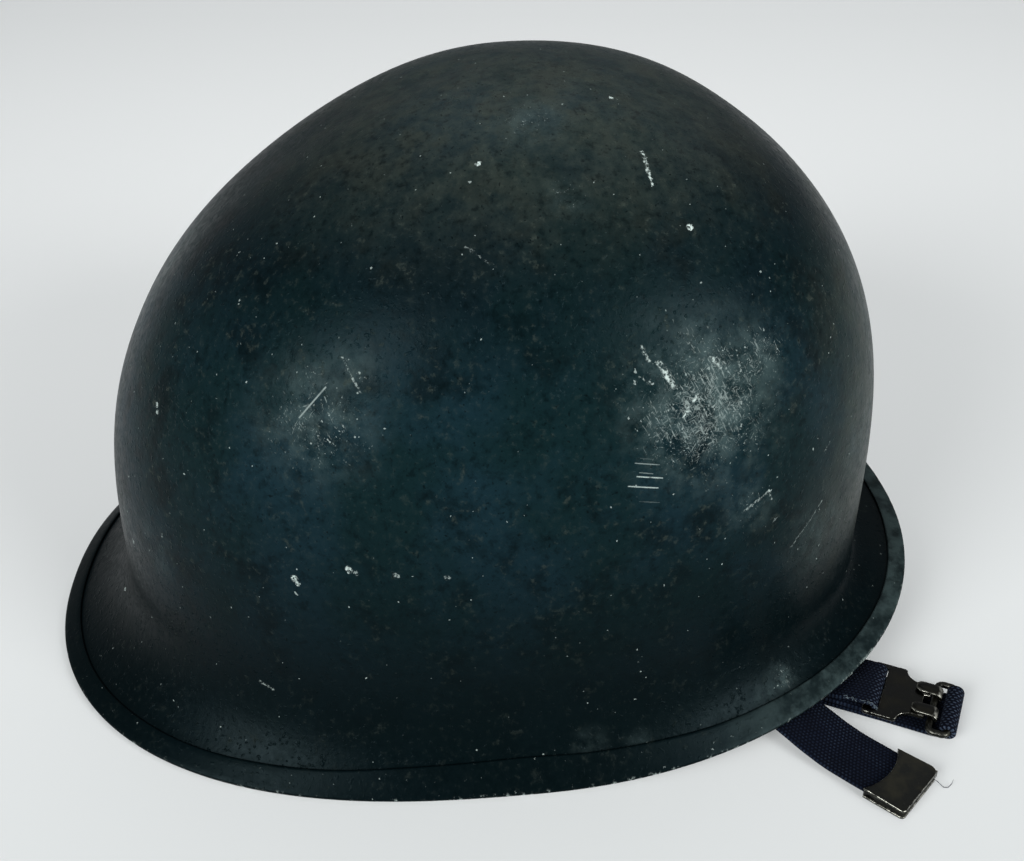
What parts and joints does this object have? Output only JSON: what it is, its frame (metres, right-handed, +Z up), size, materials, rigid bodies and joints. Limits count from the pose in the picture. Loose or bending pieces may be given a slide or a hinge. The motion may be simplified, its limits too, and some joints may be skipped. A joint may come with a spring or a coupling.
{
  "type": "gendarmerie helmet",
  "caption": "Steel service helmet with a flared rim, webbing chinstrap with claw buckle and metal tip, and a removable fibre liner with suspension and sweatband.",
  "frame": {"origin": "under the middle of the shell, on the plane that the rim stands on", "axes": "+Z up towards the crown, -Y towards the front of the helmet, +X towards the wearer's left"},
  "size_m": [0.2491, 0.2916, 0.1775],
  "materials": {
    "midnight_paint": "matt blue-black paint, scuffed and chipped",
    "band_paint": "matt blue-black paint, rubbed",
    "blackened_steel": "blackened, worn bright on its edges",
    "navy_webbing": "ribbed cotton webbing",
    "liner_fibre": "satin resin fibre",
    "khaki_webbing": "herringbone cotton webbing",
    "lace_cotton": "twisted cotton lace",
    "sweatband_leather": "smooth leather, worn",
    "clip_steel": "blackened sheet",
    "rivet_brass": "dull brass"
  },
  "bodies": {
    "liner": {"liner_shell": "liner_fibre", "liner_rivets": "rivet_brass", "suspension_washers": "blackened_steel", "suspension_band": "khaki_webbing", "crown_strap_1": "khaki_webbing", "crown_strap_2": "khaki_webbing", "crown_strap_3": "khaki_webbing", "crown_strap_4": "khaki_webbing", "crown_strap_5": "khaki_webbing", "crown_strap_6": "khaki_webbing", "crown_lace": "lace_cotton", "sweatband": "sweatband_leather", "sweatband_clips": "clip_steel", "nape_strap": "khaki_webbing", "nape_rivets": "rivet_brass", "left_chinstrap_stud": "rivet_brass", "right_chinstrap_stud": "rivet_brass"},
    "steel_pot": {"steel_shell": "midnight_paint", "rim_band": "band_paint", "left_bail_lug": "midnight_paint", "right_bail_lug": "midnight_paint", "long_chinstrap": "navy_webbing", "short_chinstrap": "navy_webbing", "strap_catch_loop": "blackened_steel", "strap_tip": "blackened_steel"},
    "left_bail_swivel": {"left_bail": "blackened_steel", "left_strap_loop": "navy_webbing"},
    "right_bail_swivel": {"right_bail": "blackened_steel", "right_strap_loop": "navy_webbing"},
    "buckle": {"claw_buckle": "blackened_steel"},
    "size_buckle": {"sweatband_buckle": "clip_steel"}
  },
  "joints": [
    {"name": "shell_lift", "type": "slide", "parent": "liner", "child": "steel_pot", "axis": [0, 0, 1], "range_m": [0, 0.19], "deforming": ["long_chinstrap", "short_chinstrap"]},
    {"name": "left_bail_hinge", "type": "hinge", "parent": "steel_pot", "child": "left_bail_swivel", "pos_m": [0.10405, 0, 0.012], "axis": [0, -1, 0], "range_deg": [-60, 5]},
    {"name": "right_bail_hinge", "type": "hinge", "parent": "steel_pot", "child": "right_bail_swivel", "pos_m": [-0.10405, 0, 0.012], "axis": [0, 1, 0], "range_deg": [-60, 5]},
    {"name": "claw_buckle_hinge", "type": "hinge", "parent": "steel_pot", "child": "buckle", "pos_m": [-0.0962, -0.12368, 0.0033], "axis": [0.866, -0.5, 0], "range_deg": [0, 60]},
    {"name": "sweatband_buckle_slide", "type": "slide", "parent": "liner", "child": "size_buckle", "axis": [1, 0, 0], "range_m": [-0.01, 0.01]}
  ]
}
